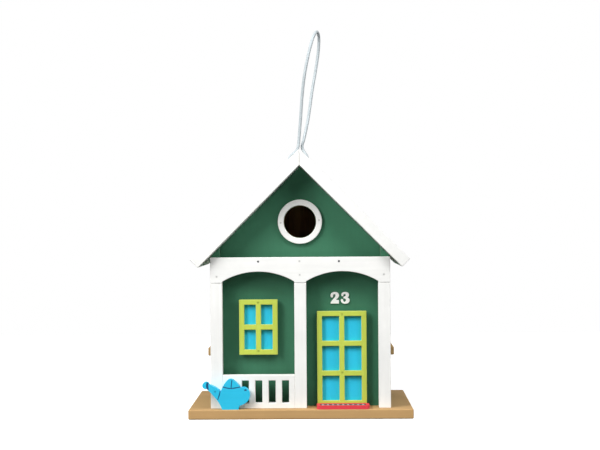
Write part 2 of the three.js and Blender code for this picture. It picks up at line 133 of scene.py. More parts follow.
class BirdhouseSizes(bpy.types.PropertyGroup):
    """Sizes that the frame's boxes don't give."""

    entrance: length_property("Entrance", 32, "Diameter of the hole that the birds use")
    ring_eye: length_property("Ring eye", 32.6, "Inner diameter of the ring round the entrance")
    board_edge: length_property("Board edge", 0.5, "Rounding of a sawn and sanded board's edges")
    base_edge: length_property("Base edge", 1.3, "Rounding of the base board's edges")
    arch_rise: length_property("Arch rise", 9.8, "Height of each porch arch over its springing")
    arch_foot: length_property("Arch foot", 1.3, "Straight part under each arch's springing")
    slot_width: length_property("Railing slot", 7, "Width of a slot in the porch railing")
    slot_pitch: length_property("Railing pitch", 13.2, "Distance between the railing's slots")
    slot_foot: length_property("Railing foot", 5.2, "Wood left under the railing's slots")
    slot_head: length_property("Railing head", 5.4, "Wood left over the railing's slots")
    stile: length_property("Stile", 5.1, "Width of the wood round a window or door")
    bar: length_property("Glazing bar", 5.1, "Width of the bars between the panes")
    side_stile: length_property("Side window bar", 4.4, "Width of the side windows' stiles and bars")
    cord: length_property("Cord", 3, "Diameter of the hanging cord")
    cord_hole: length_property("Cord hole", 4.4, "Diameter of the cord's holes in the roof")
    hatch_side: length_property("Hatch side gap", 0.8, "Gap beside and over the clean-out hatch")
    hatch_foot: length_property("Hatch foot gap", 1.3, "Gap under the clean-out hatch")


class BirdhousePaints(bpy.types.PropertyGroup):
    """Colours of the paints and bare materials."""

    green: colour_property("Wall green", "#2c694c", "Matt paint on the walls")
    white: colour_property("Trim white", "#ededea", "Matt paint on the roof, the porch and the ring")
    tan: colour_property("Base tan", "#bb9561", "Thin paint on the base board and sills")
    lime: colour_property("Joinery green", "#b9c74c", "Satin paint on the window and door frames")
    blue: colour_property("Pane blue", "#23bce1", "Satin paint on the panes and the watering can")
    navy: colour_property("Line blue", "#0d4f80", "Thin painted lines on the watering can")
    red: colour_property("Mat red", "#dc3a45", "Matt paint on the door mat")
    teal: colour_property("Inlay teal", "#1d4a55", "Matt paint on the mat's inlay")
    pale: colour_property("Inlay marks", "#b9d3d2", "Matt paint on the inlay's raised marks")
    pine: colour_property("Bare pine", "#cfac7b", "Unpainted softwood inside the house")
    cord: colour_property("Cord white", "#b9c2c6", "Polyester of the hanging cord")
    zinc: colour_property("Zinc plate", "#b9bcc0", "Plated steel of the hinges and screws")
    steel: colour_property("Brad steel", "#6f7175", "Bare steel of the brads and hinge pins")


# ---------------------------------------------------------------- shaping helpers

def clear_selection():
    if bpy.context.mode != "OBJECT":
        bpy.ops.object.mode_set(mode="OBJECT")
    bpy.ops.object.select_all(action="DESELECT")


def take(piece):
    """Makes a piece the only selected and the active one."""
    clear_selection()
    piece.select_set(True)
    bpy.context.view_layer.objects.active = piece
    return piece


def named(name):
    piece = bpy.context.object
    piece.name = name
    piece.data.name = name
    bpy.ops.object.transform_apply(location=True, rotation=True, scale=True)
    return piece


def block(name, low, high):
    """A box between two corners."""
    low, high = Vector(low), Vector(high)
    clear_selection()
    bpy.ops.mesh.primitive_cube_add(size=1, location=(low + high) / 2, scale=high - low)
    return named(name)


def rod(name, axis, radius, start, end, sides=48):
    """A round bar along an axis, from a start to an end point."""
    start, end = Vector(start), Vector(end)
    turn = {"X": (0, math.pi / 2, 0), "Y": (math.pi / 2, 0, 0), "Z": (0, 0, 0)}[axis]
    clear_selection()
    bpy.ops.mesh.primitive_cylinder_add(
        vertices=sides, radius=radius, depth=(end - start).length, location=(start + end) / 2, rotation=turn)
    return named(name)


def drill(name, low, high, x, z, radius, sides):
    """A cutter for a round hole, from front to back through a board's box."""
    return rod(name, "Y", radius, (x, low.y - CLEAR, z), (x, high.y + CLEAR, z), sides)


def mortise(name, low, high, left, foot, right, head):
    """A cutter for a square hole, from front to back through a board's box."""
    return block(name, (left, low.y - CLEAR, foot), (right, high.y + CLEAR, head))


def saw(piece, point, normal):
    """Cuts off everything past a plane and closes the cut."""
    take(piece)
    bpy.ops.object.mode_set(mode="EDIT")
    bpy.ops.mesh.select_all(action="SELECT")
    bpy.ops.mesh.bisect(plane_co=point, plane_no=normal, use_fill=True, clear_outer=True)
    bpy.ops.object.mode_set(mode="OBJECT")
    return piece


def score(piece, point, normal):
    """Divides the faces along a plane and cuts nothing off."""
    take(piece)
    bpy.ops.object.mode_set(mode="EDIT")
    bpy.ops.mesh.select_all(action="SELECT")
    bpy.ops.mesh.bisect(plane_co=point, plane_no=normal)
    bpy.ops.object.mode_set(mode="OBJECT")
    return piece


def choose(piece, kind, chosen):
    """Selects the edges whose ends, or the faces whose centre and normal, pass a test. Edit mode stays on."""
    take(piece)
    bpy.ops.object.mode_set(mode="EDIT")
    bpy.ops.mesh.select_mode(type=kind)
    bpy.ops.mesh.select_all(action="DESELECT")
    bpy.ops.object.mode_set(mode="OBJECT")
    mesh = piece.data
    if kind == "EDGE":
        for edge in mesh.edges:
            edge.select = chosen(*(mesh.vertices[v].co for v in edge.vertices))
    else:
        for face in mesh.polygons:
            face.select = chosen(face.center, face.normal)
    bpy.ops.object.mode_set(mode="EDIT")


def apply_modifier(piece, kind, **settings):
    take(piece)
    modifier = piece.modifiers.new(kind.title(), kind)
    for key, value in settings.items():
        setattr(modifier, key, value)
    bpy.ops.object.modifier_apply(modifier=modifier.name)
    return piece


def joined(pieces):
    """One object made of several that don't touch."""
    take(pieces[0])
    for piece in pieces[1:]:
        piece.select_set(True)
    bpy.ops.object.join()
    return pieces[0]


def carve(piece, cutters):
    """Cuts separate shapes out of a piece. The cut faces take the cutters' materials."""
    cutter = joined(cutters)
    apply_modifier(piece, "BOOLEAN", operation="DIFFERENCE", solver="EXACT", material_mode="TRANSFER",
                   object=cutter)
    bpy.data.objects.remove(cutter)
    return piece


def fuse(piece, other):
    apply_modifier(piece, "BOOLEAN", operation="UNION", solver="EXACT", object=other)
    bpy.data.objects.remove(other)
    return piece


def ease(piece, width, segments=3, edge_material=-1):
    """Rounds the edges, as sandpaper and paint do."""
    return apply_modifier(piece, "BEVEL", width=width, segments=segments, limit_method="ANGLE",
                          angle_limit=math.radians(32), material=edge_material, harden_normals=False)


def smooth(piece, degrees=35):
    take(piece)
    bpy.ops.object.shade_smooth_by_angle(angle=math.radians(degrees))
    return piece


def give(piece, *materials):
    piece.data.materials.clear()
    for material in materials:
        piece.data.materials.append(material)
    return piece


def repaint(piece, index, chosen):
    """Gives a material to the faces that a test of centre and normal picks."""
    for face in piece.data.polygons:
        if chosen(face.center, face.normal):
            face.material_index = index
    return piece


def copy_of_node(node, name):
    """A merged copy of a CAD node, as a start for a piece of the same outline."""
    source = frame["nodes"][node]
    piece = bpy.data.objects.new(name, source.data.copy())
    piece.data.name = name
    bpy.context.scene.collection.objects.link(piece)
    take(piece)
    bpy.ops.object.mode_set(mode="EDIT")
    bpy.ops.mesh.select_all(action="SELECT")
    bpy.ops.mesh.remove_doubles(threshold=0.005 * MM)
    bpy.ops.mesh.dissolve_limited(angle_limit=math.radians(1))
    bpy.ops.mesh.normals_make_consistent(inside=False)
    bpy.ops.object.mode_set(mode="OBJECT")
    return piece


def copied(piece, name, shift=(0, 0, 0)):
    """A copy of a piece with its own mesh, moved over a distance."""
    take(piece)
    bpy.ops.object.duplicate()
    twin = bpy.context.object
    twin.name = twin.data.name = name
    bpy.ops.object.mode_set(mode="EDIT")
    bpy.ops.mesh.select_all(action="SELECT")
    bpy.ops.transform.translate(value=shift)
    bpy.ops.object.mode_set(mode="OBJECT")
    return twin


def mirrored(piece, name):
    """The piece for the other side: a mirror image in the plane x = 0, with its own mesh."""
    twin = copied(piece, name)
    bpy.ops.object.mode_set(mode="EDIT")
    bpy.ops.mesh.select_all(action="SELECT")
    bpy.ops.transform.resize(value=(-1, 1, 1), center_override=(0, 0, 0))
    bpy.ops.mesh.normals_make_consistent(inside=False)
    bpy.ops.object.mode_set(mode="OBJECT")
    return twin


def settle(piece, *nodes):
    """A finished piece stands for its nodes, which are hidden, and moves with their body."""
    apply_modifier(piece, "WEIGHTED_NORMAL", keep_sharp=True)
    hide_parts(*nodes)
    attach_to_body(piece, BODY_OF[nodes[0]])
    return piece


def attach(piece, node):
    """A small extra piece that moves with a node's body."""
    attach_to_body(piece, BODY_OF[node])
    return piece


def centre_of(node):
    low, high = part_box(node)
    return (low + high) / 2


# ---------------------------------------------------------------- materials

def per(millimetres):
    """Texture scale whose features are about that many millimetres wide."""
    return 1 / (millimetres * MM)


def put(tree, kind, links=None, **settings):
    """Adds one node with its settings, and its inputs as values or as other nodes' sockets."""
    node = tree.nodes.new(kind)
    for key, value in settings.items():
        setattr(node, key, value)
    for key, value in (links or {}).items():
        if isinstance(value, bpy.types.NodeSocket):
            tree.links.new(value, node.inputs[key])
        else:
            node.inputs[key].default_value = value
    return node


def blank(name):
    material = bpy.data.materials.new(name)
    material.use_nodes = True
    material.node_tree.nodes.clear()
    return material, material.node_tree


MIX_A, MIX_B, MIX_OUT = 6, 7, 2       # the colour sockets of a Mix node


def shade(colour, factor):
    return tuple(min(1.0, c * factor) for c in colour[:3]) + (1.0,)


def noise(tree, place, width, detail=2.0, **inputs):
    """Noise whose features are about that many millimetres wide."""
    return put(tree, "ShaderNodeTexNoise",
               {"Vector": place, "Scale": per(width), "Detail": detail, **inputs}).outputs["Fac"]


def blend(tree, share, first, second):
    """The first colour with a share of the second."""
    mix = put(tree, "ShaderNodeMix", {0: share, MIX_A: first, MIX_B: second}, data_type="RGBA")
    return mix.outputs[MIX_OUT]


def spread(tree, value, start, end, low=0.0, high=1.0):
    """The stretch of a value from start to end, drawn out to run from low to high."""
    return put(tree, "ShaderNodeMapRange", {"Value": value, "From Min": start, "From Max": end,
                                            "To Min": low, "To Max": high}).outputs["Result"]


def relief(tree, height, strength, depth, under=None):
    """Bumps of a depth in millimetres, which may lie over other bumps."""
    links = {"Height": height, "Strength": strength, "Distance": depth * MM}
    if under:
        links["Normal"] = under
    return put(tree, "ShaderNodeBump", links).outputs["Normal"]


def surface(tree, inputs):
    """Ends a material with one principled shader."""
    shader = put(tree, "ShaderNodeBsdfPrincipled", inputs)
    put(tree, "ShaderNodeOutputMaterial", {"Surface": shader.outputs["BSDF"]})


def places(tree, grain, squeeze):
    """Places on the piece, as they are and squeezed along the grain, which draws patterns out that way."""
    place = put(tree, "ShaderNodeTexCoord").outputs["Object"]
    scale = [squeeze if axis == grain else 1 for axis in "XYZ"]
    return place, put(tree, "ShaderNodeMapping", {"Vector": place, "Scale": scale}).outputs["Vector"]


def painted_wood(label, colour, grain, roughness=0.62, edge=False):
    """Water-based paint brushed over sanded softwood: an even matt film, with the grain's ridges just
    telegraphing through it. On an edge the film is thinner, so it is paler, with a few tiny chips."""
    name = f"{label} paint on pine, {'edges' if edge else 'grain along ' + grain}"
    if name in bpy.data.materials:
        return bpy.data.materials[name]
    material, tree = blank(name)
    place, along = places(tree, grain, 0.05)
    # Growth rings are 1 to 3 mm apart; the coarser ones are drawn, so that they show.
    rings = noise(tree, along, 3.2, 3.0, Roughness=0.55)
    fibres = noise(tree, along, 0.7, 2.0, Roughness=0.6)
    # The film's own texture: roller stipple under 1 mm, and slow changes of thickness over a hand's width.
    stipple = noise(tree, place, 0.9, 3.0, Roughness=0.5)
    patches = noise(tree, place, 34, 3.0, Roughness=0.6)
    film = blend(tree, spread(tree, patches, 0.3, 0.7), shade(colour, 0.94), shade(colour, 1.03))
    ridge = spread(tree, rings, 0.42, 0.62)
    veil = put(tree, "ShaderNodeMath", {0: ridge, 1: 0.35}, operation="MULTIPLY").outputs["Value"]
    top = blend(tree, veil, film, shade(colour, 0.9))
    if edge:
        chips = spread(tree, noise(tree, place, 2.6, 4.0, Roughness=0.65), 0.70, 0.73)
        worn = blend(tree, 0.05, top, linear("#e9e4d8"))
        top = blend(tree, chips, worn, linear("#c9a878"))
    sheen = spread(tree, stipple, 0.3, 0.7, roughness - 0.06, roughness + 0.08)
    bumps = relief(tree, rings, 0.35, 0.09)
    bumps = relief(tree, fibres, 0.3, 0.04, bumps)
    bumps = relief(tree, stipple, 0.35, 0.05, bumps)
    surface(tree, {"Base Color": top, "Roughness": sheen, "Normal": bumps, "IOR": 1.48})
    return material


def bare_pine(colour, grain):
    """Planed softwood with no finish: warm stripes of early and late wood, dry and matt."""
    name = f"Bare pine, grain along {grain}"
    if name in bpy.data.materials:
        return bpy.data.materials[name]
    material, tree = blank(name)
    _, along = places(tree, grain, 0.07)
    rings = noise(tree, along, 5, 4.0, Roughness=0.5, Distortion=0.4)
    fibres = noise(tree, along, 0.5, 2.0, Roughness=0.6)
    tone = blend(tree, spread(tree, rings, 0.44, 0.6), colour, shade(colour, 0.62))
    streak = blend(tree, fibres, tone, shade(colour, 0.8))
    surface(tree, {"Base Color": streak, "Roughness": 0.78, "Normal": relief(tree, fibres, 0.5, 0.08),
                   "IOR": 1.5})
    return material


def plated_metal(label, colour, roughness):
    """Rolled and plated steel: a soft grey gloss broken by fine rolling marks and dull spots."""
    if label in bpy.data.materials:
        return bpy.data.materials[label]
    material, tree = blank(label)
    place, rolled = places(tree, "X", 0.06)
    marks = noise(tree, rolled, 0.25, 2.0)
    spots = noise(tree, place, 2.5, 4.0, Roughness=0.7)
    surface(tree, {"Base Color": blend(tree, spots, shade(colour, 1.05), shade(colour, 0.8)), "Metallic": 1.0,
                   "Roughness": spread(tree, spots, 0.3, 0.7, roughness - 0.08, roughness + 0.14),
                   "Normal": relief(tree, marks, 0.25, 0.02)})
    return material


def braided_polyester(colour):
    """A braided polyester cord: the strands' crossings are in the mesh, and each strand shows its
    filaments as fine lines along the cord."""
    name = "Braided polyester"
    if name in bpy.data.materials:
        return bpy.data.materials[name]
    material, tree = blank(name)
    along = put(tree, "ShaderNodeUVMap", uv_map="UVMap").outputs["UV"]
    # U runs round the cord and V along it, both in millimetres. Filaments are drawn 0.25 mm apart.
    lines = put(tree, "ShaderNodeMapping", {"Vector": along, "Scale": (4, 0.5, 1)}).outputs["Vector"]
    filaments = put(tree, "ShaderNodeTexNoise",
                    {"Vector": lines, "Scale": 1.0, "Detail": 2.0, "Roughness": 0.6}).outputs["Fac"]
    soil = put(tree, "ShaderNodeTexNoise",
               {"Vector": along, "Scale": 0.12, "Detail": 3.0}).outputs["Fac"]
    tone = blend(tree, filaments, shade(colour, 0.86), shade(colour, 1.06))
    aged = blend(tree, soil, tone, shade(colour, 0.93))
    surface(tree, {"Base Color": aged, "Roughness": 0.7, "Normal": relief(tree, filaments, 0.6, 0.06),
                   "Sheen Weight": 0.25, "IOR": 1.5})
    return material


def coats(label, colour, grain, roughness=0.62):
    """The face and edge materials of one paint."""
    return (painted_wood(label, colour, grain, roughness),
            painted_wood(label, colour, grain, roughness, edge=True))


# ---------------------------------------------------------------- tubes

def smooth_route(points, step):
    """A centripetal Catmull-Rom curve through the points, with even steps."""
    points = [Vector(p) for p in points]
    ends = [2 * points[0] - points[1], *points, 2 * points[-1] - points[-2]]
    line = []
    for a, b, c, d in zip(ends, ends[1:], ends[2:], ends[3:]):
        ab, bc, cd = (math.sqrt((q - p).length) for p, q in ((a, b), (b, c), (c, d)))
        leave = ((b - a) / ab - (c - a) / (ab + bc) + (c - b) / bc) * bc
        arrive = ((c - b) / bc - (d - b) / (bc + cd) + (d - c) / cd) * bc
        count = max(2, math.ceil((c - b).length / step))
        for i in range(count):
            t = i / count
            line.append((2 * t**3 - 3 * t**2 + 1) * b + (t**3 - 2 * t**2 + t) * leave
                        + (3 * t**2 - 2 * t**3) * c + (t**3 - t**2) * arrive)
    return line + [points[-1]]


def plait(angle, distance, strands, pitch):
    """Height of a braid's surface, from 0 in its valleys to 1 on its strands."""
    turn = 2 * math.pi * distance / pitch
    over = math.cos(strands * (angle + turn)) * math.cos(strands * (angle - turn))
    return 0.5 + 0.5 * over


def tube(name, line, radius, sides, relief=0.0, strands=6, pitch=24 * MM):
    """A closed tube along a line, with a braid's relief about the radius. Its UV map is in millimetres."""
    ahead = (line[1] - line[0]).normalized()
    across = ahead.orthogonal().normalized()
    vertices, rounds, distance = [], [], 0.0
    for i, centre in enumerate(line):
        previous, following = line[max(i - 1, 0)], line[min(i + 1, len(line) - 1)]
        heading = (following - previous).normalized()
        across = (across - heading * across.dot(heading)).normalized()
        beside = heading.cross(across)
        distance += (centre - line[max(i - 1, 0)]).length
        rounds.append(distance)
        for k in range(sides):
            angle = 2 * math.pi * k / sides
            reach = radius * (1 + relief * (plait(angle, distance, strands, pitch) - 0.5))
            vertices.append(centre + reach * (math.cos(angle) * across + math.sin(angle) * beside))
    faces, corners = [], []
    girth = 2 * math.pi * radius
    for i in range(len(line) - 1):
        for k in range(sides):
            after = (k + 1) % sides
            faces.append((i * sides + k, i * sides + after, (i + 1) * sides + after, (i + 1) * sides + k))
            left, right = girth * k / sides / MM, girth * (k + 1) / sides / MM
            near, far = rounds[i] / MM, rounds[i + 1] / MM
            corners += [(left, near), (right, near), (right, far), (left, far)]
    last = (len(line) - 1) * sides
    faces += [tuple(reversed(range(sides))), tuple(range(last, last + sides))]
    corners += [(0, 0)] * sides + [(0, rounds[-1] / MM)] * sides
    mesh = bpy.data.meshes.new(name)
    mesh.from_pydata(vertices, [], faces)
    layer = mesh.uv_layers.new(name="UVMap")
    for loop, corner in zip(layer.data, corners):
        loop.uv = corner
    mesh.shade_smooth()
    piece = bpy.data.objects.new(name, mesh)
    bpy.context.scene.collection.objects.link(piece)
    return piece


# ---------------------------------------------------------------- brads and screws

def brad_seats(board):
    """Cutters for the shallow round holes that the brads' heads were punched into."""
    face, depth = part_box(board)[0].y, 0.5 * MM
    cutters = []
    for node in BRADS_IN[board]:
        place = centre_of(node)
        cutters.append(rod("seat", "Y", BRAD_SEAT, (place.x, face - MM, place.z),
                           (place.x, face + depth, place.z), 20))
    return cutters


def make_brad(node, face):
    """A headed brad, punched just below the face of the board that it holds."""
    place, end = centre_of(node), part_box(node)[1].y
    top, underside, dent = face + 0.2 * MM, face + 1.1 * MM, face + 0.35 * MM
    lap = 0.1 * MM

    def bar(name, radius, start, stop, sides):
        return rod(name, "Y", radius, (place.x, start, place.z), (place.x, stop, place.z), sides)

    head = bar(f"{node}_finished", BRAD_HEAD, top, underside, 20)
    fuse(head, bar("shank", BRAD_SHANK, underside - lap, end, 20))
    carve(head, [bar("dimple", BRAD_DIMPLE, face, dent, 12)])
    return smooth(ease(head, 0.15 * MM, 2))


def make_screw(name, place, face, radius, metal):
    """A countersunk cross-head screw whose head lies just over a plate's rear face."""
    x, z = place
    top, seat, recess = face + 0.3 * MM, face - 0.35 * MM, 0.4 * MM
    head = rod(name, "Y", radius, (x, seat, z), (x, top, z), 32)
    arm, half, floor = 0.62 * radius, 0.13 * radius, top - recess
    cross = [block("recess", (x - wide, floor, z - tall), (x + wide, top + MM, z + tall))
             for wide, tall in ((arm, half), (half, arm))]
    carve(head, [fuse(*cross)])
    give(head, metal)
    return smooth(ease(head, 0.12 * MM, 2))


# ---------------------------------------------------------------- operators

class BIRDHOUSE_OT_stage(bpy.types.Operator):
    """Lay a pale sweep, hang seven soft lights and place the camera"""

    bl_idname = "birdhouse.stage"
    bl_label = "Stage"

    def execute(self, context):
        scene = context.scene
        clear_selection()
        bpy.ops.mesh.primitive_plane_add(size=1, location=(0, 0, 0))
        sweep = named("sweep")
        take(sweep)
        bpy.ops.object.mode_set(mode="EDIT")
        bpy.ops.mesh.select_all(action="SELECT")
        bpy.ops.transform.resize(value=(SWEEP_SIDE, SWEEP_SIDE, 1))
        bpy.ops.object.mode_set(mode="OBJECT")
        material, tree = blank("White paper sweep")
        grain = put(tree, "ShaderNodeTexNoise", {"Scale": per(1.5), "Detail": 2.0}).outputs["Fac"]
        bump = put(tree, "ShaderNodeBump", {"Height": grain, "Strength": 0.1, "Distance": 0.05 * MM})
        paper = put(tree, "ShaderNodeBsdfPrincipled",
                    {"Base Color": linear("#fbfbfa"), "Roughness": 0.9, "Normal": bump.outputs["Normal"],
                     "Emission Color": (1, 1, 1, 1), "Emission Strength": SWEEP_GLOW})
        put(tree, "ShaderNodeOutputMaterial", {"Surface": paper.outputs["BSDF"]})
        give(sweep, material)
        sweep.visible_diffuse = False     # the paper throws no light back up under the roof and arches

        world = bpy.data.worlds.new("Studio")
        world.use_nodes = True
        world.node_tree.nodes.clear()
        # The surroundings look white, and light the house more weakly than the lamps do.
        seen = put(world.node_tree, "ShaderNodeLightPath").outputs["Is Camera Ray"]
        fill = put(world.node_tree, "ShaderNodeBackground", {"Color": (1, 1, 1, 1), "Strength": FILL})
        backdrop = put(world.node_tree, "ShaderNodeBackground", {"Color": (1, 1, 1, 1), "Strength": 1.0})
        sky = put(world.node_tree, "ShaderNodeMixShader",
                  {0: seen, 1: fill.outputs["Background"], 2: backdrop.outputs["Background"]})
        put(world.node_tree, "ShaderNodeOutputWorld", {"Surface": sky.outputs["Shader"]})
        scene.world = world
        scene.view_settings.view_transform = "Standard"

        for name, azimuth, height, distance, size, watts in LAMPS:
            around, up = math.radians(azimuth), math.radians(height)
            offset = Vector((math.sin(around) * math.cos(up), -math.cos(around) * math.cos(up), math.sin(up)))
            lamp = bpy.data.lights.new(name, "AREA")
            lamp.shape, lamp.size, lamp.energy = "DISK", size, watts
            light = bpy.data.objects.new(name, lamp)
            light.location = LAMP_AIM + distance * offset
            light.rotation_euler = offset.to_track_quat("Z", "Y").to_euler()
            scene.collection.objects.link(light)

        lens = bpy.data.cameras.new("camera")
        lens.sensor_width, lens.lens = 36, CAMERA_LENS
        lens.clip_start, lens.clip_end = 0.05, 50
        camera = bpy.data.objects.new("camera", lens)
        camera.location = CAMERA_PLACE
        camera.rotation_euler = [math.radians(angle) for angle in CAMERA_TURN]
        scene.collection.objects.link(camera)
        scene.camera = camera
        return {"FINISHED"}


class BIRDHOUSE_OT_cord(bpy.types.Operator):
    """Make the braided hanging cord and the knots that stop its ends under the roof"""

    bl_idname = "birdhouse.cord"
    bl_label = "Hanging cord"

    def execute(self, context):
        sizes, paints = context.scene.birdhouse_sizes, context.scene.birdhouse_paints
        line = smooth_route(CORD_ROUTE, 0.5 * MM)
        cord = tube("cord", line, sizes.cord / 2, 36, relief=0.16)
        polyester = braided_polyester(paints.cord)
        give(cord, polyester)
        settle(cord, "hanging_cord")

        for side in SIDES:
            node = f"cord_knot_{side}"
            low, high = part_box(node)
            centre, strand = (low + high) / 2, 0.4 * sizes.cord
            # An overhand knot: in two turns the strand passes in and out, and up and down, three times.
            reach = (high.z - low.z) / 2 - strand
            inward, upward = 0.36 * reach, 0.42 * reach
            steps, opening = 134, 4
            loop = []
            for i in range(steps - opening):
                turn = 4 * math.pi * i / steps
                out = reach - inward + inward * math.cos(1.5 * turn)
                loop.append(centre + Vector((out * math.cos(turn), out * math.sin(turn),
                                             upward * math.sin(1.5 * turn))))
            knot = tube(f"{node}_tied", loop, strand, 20, relief=0.16)
            give(knot, polyester)
            settle(knot, node)

        return {"FINISHED"}


class BIRDHOUSE_OT_base(bpy.types.Operator):
    """Make the base board and the side sills"""

    bl_idname = "birdhouse.base"
    bl_label = "Base and sills"

    def execute(self, context):
        sizes, paints = context.scene.birdhouse_sizes, context.scene.birdhouse_paints
        paint = coats("Tan", paints.tan, "X", 0.68)
        base = block("base_board_finished", *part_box("base_board"))
        ease(base, sizes.base_edge, 5, 1)
        settle(smooth(give(base, *paint)), "base_board")
        sill = block("side_sill_left_finished", *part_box("side_sill_left"))
        give(sill, *coats("Tan", paints.tan, "Y", 0.68))
        ease(sill, 0.9 * MM, 4, 1)
        other = mirrored(smooth(sill), "side_sill_right_finished")
        settle(sill, "side_sill_left")
        settle(other, "side_sill_right")
        return {"FINISHED"}


class BIRDHOUSE_OT_walls(bpy.types.Operator):
    """Make the gabled front and back walls and the two side walls"""

    bl_idname = "birdhouse.walls"
    bl_label = "Walls"

    def execute(self, context):
        sizes, paints = context.scene.birdhouse_sizes, context.scene.birdhouse_paints
        paint = coats("Green", paints.green, "Z", 0.66)
        bare = bare_pine(paints.pine, "Z")

        for node in ("front_wall", "back_wall"):
            low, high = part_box(node)
            wall = block(f"{node}_finished", low, high)
            for sign in (-1, 1):
                saw(wall, (0, 0, high.z), (sign * SLOPE, 0, SLOPE))
            give(wall, *paint, bare)
            if node == "front_wall":
                hole = centre_of("entrance_ring")
                opening = drill("opening", low, high, hole.x, hole.z, sizes.entrance / 2, 128)
                carve(wall, [give(opening, bare)])
            else:
                door_low, door_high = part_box("cleanout_hatch")
                side, foot = sizes.hatch_side, sizes.hatch_foot
                carve(wall, [mortise("opening", low, high, door_low.x - side, door_low.z - foot,
                                     door_high.x + side, door_high.z + side)])
            inside = high.y if node == "front_wall" else low.y
            ease(wall, sizes.board_edge, 2, 1)
            repaint(wall, 2, lambda centre, normal: abs(centre.y - inside) < FLAT)
            settle(smooth(wall), node)

        low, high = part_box("side_wall_left")
        wall = block("side_wall_left_finished", low, high)
        saw(wall, (high.x, 0, high.z), (-SLOPE, 0, SLOPE))
        give(wall, *paint, bare)
        ease(wall, sizes.board_edge, 3, 1)
        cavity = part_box("front_wall")[1].y
        score(wall, (0, cavity, 0), (0, 1, 0))
        repaint(wall, 2, lambda centre, normal: abs(centre.x - high.x) < FLAT and centre.y > cavity)
        other = mirrored(smooth(wall), "side_wall_right_finished")
        settle(wall, "side_wall_left")
        settle(other, "side_wall_right")

        low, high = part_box("porch_spacer")
        beam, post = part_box("porch_beam"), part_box("porch_post_middle")
        strip = block("porch_spacer_finished", (low.x, low.y, high.z - SPACER_HEIGHT), high)
        tongue = block("tongue", (post[0].x + TONGUE_INSET, low.y, low.z),
                       (post[1].x - TONGUE_INSET, high.y, high.z - MM))
        fuse(strip, tongue)
        give(strip, *coats("Green", paints.green, "X", 0.66))
        ease(strip, sizes.board_edge, 2, 1)
        settle(smooth(strip), "porch_spacer")
        return {"FINISHED"}


class BIRDHOUSE_OT_roof(bpy.types.Operator):
    """Make the two mitred roof boards with their cord holes"""

    bl_idname = "birdhouse.roof"
    bl_label = "Roof"

    def execute(self, context):
        sizes, paints = context.scene.birdhouse_sizes, context.scene.birdhouse_paints
        bare = bare_pine(paints.pine, "Y")
        low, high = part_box("roof_board_right")
        # The section is a board that ends square at the eave and mitred at the ridge.
        eave = high.z - (high.x - low.x)
        foot = (high.x - (eave - low.z), 0, low.z)
        right = block("roof_board_right_finished", low, high)
        saw(right, (low.x, 0, high.z), (SLOPE, 0, SLOPE))
        saw(right, (high.x, 0, eave), (SLOPE, 0, -SLOPE))
        saw(right, foot, (-SLOPE, 0, -SLOPE))
        give(right, *coats("White", paints.white, "Y", 0.6))
        ease(right, sizes.board_edge, 4, 1)
        left = mirrored(right, "roof_board_left_finished")

        for board, side, hole in ((left, "left", CORD_ROUTE[1]), (right, "right", CORD_ROUTE[-2])):
            surface = high.z + low.x - abs(hole[0])
            bore = rod("bore", "Z", sizes.cord_hole / 2, (hole[0], hole[1], low.z),
                       (hole[0], hole[1], high.z + CLEAR), 40)
            carve(board, [give(bore, bare)])
            clear_selection()
            bpy.ops.mesh.primitive_cone_add(
                vertices=40, radius1=0, radius2=2 * sizes.cord_hole, depth=2 * sizes.cord_hole,
                location=(hole[0], hole[1], surface + 0.3 * sizes.cord_hole))
            carve(board, [give(named("countersink"), bare)])
            settle(smooth(board), f"roof_board_{side}")
        return {"FINISHED"}


class BIRDHOUSE_OT_porch(bpy.types.Operator):
    """Make the arched beam, the three posts and the railing"""

    bl_idname = "birdhouse.porch"
    bl_label = "Porch"

    def execute(self, context):
        sizes, paints = context.scene.birdhouse_sizes, context.scene.birdhouse_paints
        upright, level = coats("White", paints.white, "Z", 0.6), coats("White", paints.white, "X", 0.6)

        low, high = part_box("porch_beam")
        beam = block("porch_beam_finished", low, high)
        arches = []
        for side in SIDES:
            post_low, post_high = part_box(f"porch_post_{side}")
            middle_low, middle_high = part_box("porch_post_middle")
            left, right = ((post_high.x, middle_low.x) if side == "left" else (middle_high.x, post_low.x))
            half, rise = (right - left) / 2, sizes.arch_rise
            radius = (half**2 + rise**2) / (2 * rise)
            crown = low.z + sizes.arch_foot + rise
            centre = (left + right) / 2
            arch = drill("arch", low, high, centre, crown - radius, radius, 240)
            saw(arch, (left, 0, 0), (-1, 0, 0))
            saw(arch, (right, 0, 0), (1, 0, 0))
            arches.append(arch)
        carve(beam, arches)
        give(beam, *level)
        ease(beam, sizes.board_edge, 3, 1)
        carve(beam, brad_seats("porch_beam"))
        settle(smooth(beam), "porch_beam")

        first = "porch_post_left"
        post = give(block(f"{first}_finished", *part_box(first)), *upright)
        smooth(ease(post, sizes.board_edge, 3, 1))
        others = {node: copied(post, f"{node}_finished", centre_of(node) - centre_of(first))
                  for node in ("porch_post_middle", "porch_post_right")}
        settle(post, first)
        for node, other in others.items():
            settle(other, node)

        low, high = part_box("porch_railing")
        rail = block("porch_railing_finished", low, high)
        slots = []
        for i in (-2, -1, 0, 1, 2):
            x = (low.x + high.x) / 2 + i * sizes.slot_pitch
            slots.append(mortise("slot", low, high, x - sizes.slot_width / 2, low.z + sizes.slot_foot,
                                 x + sizes.slot_width / 2, high.z - sizes.slot_head))
        carve(rail, slots)
        give(rail, *level)
        ease(rail, sizes.board_edge, 3, 1)
        settle(smooth(rail), "porch_railing")
        return {"FINISHED"}


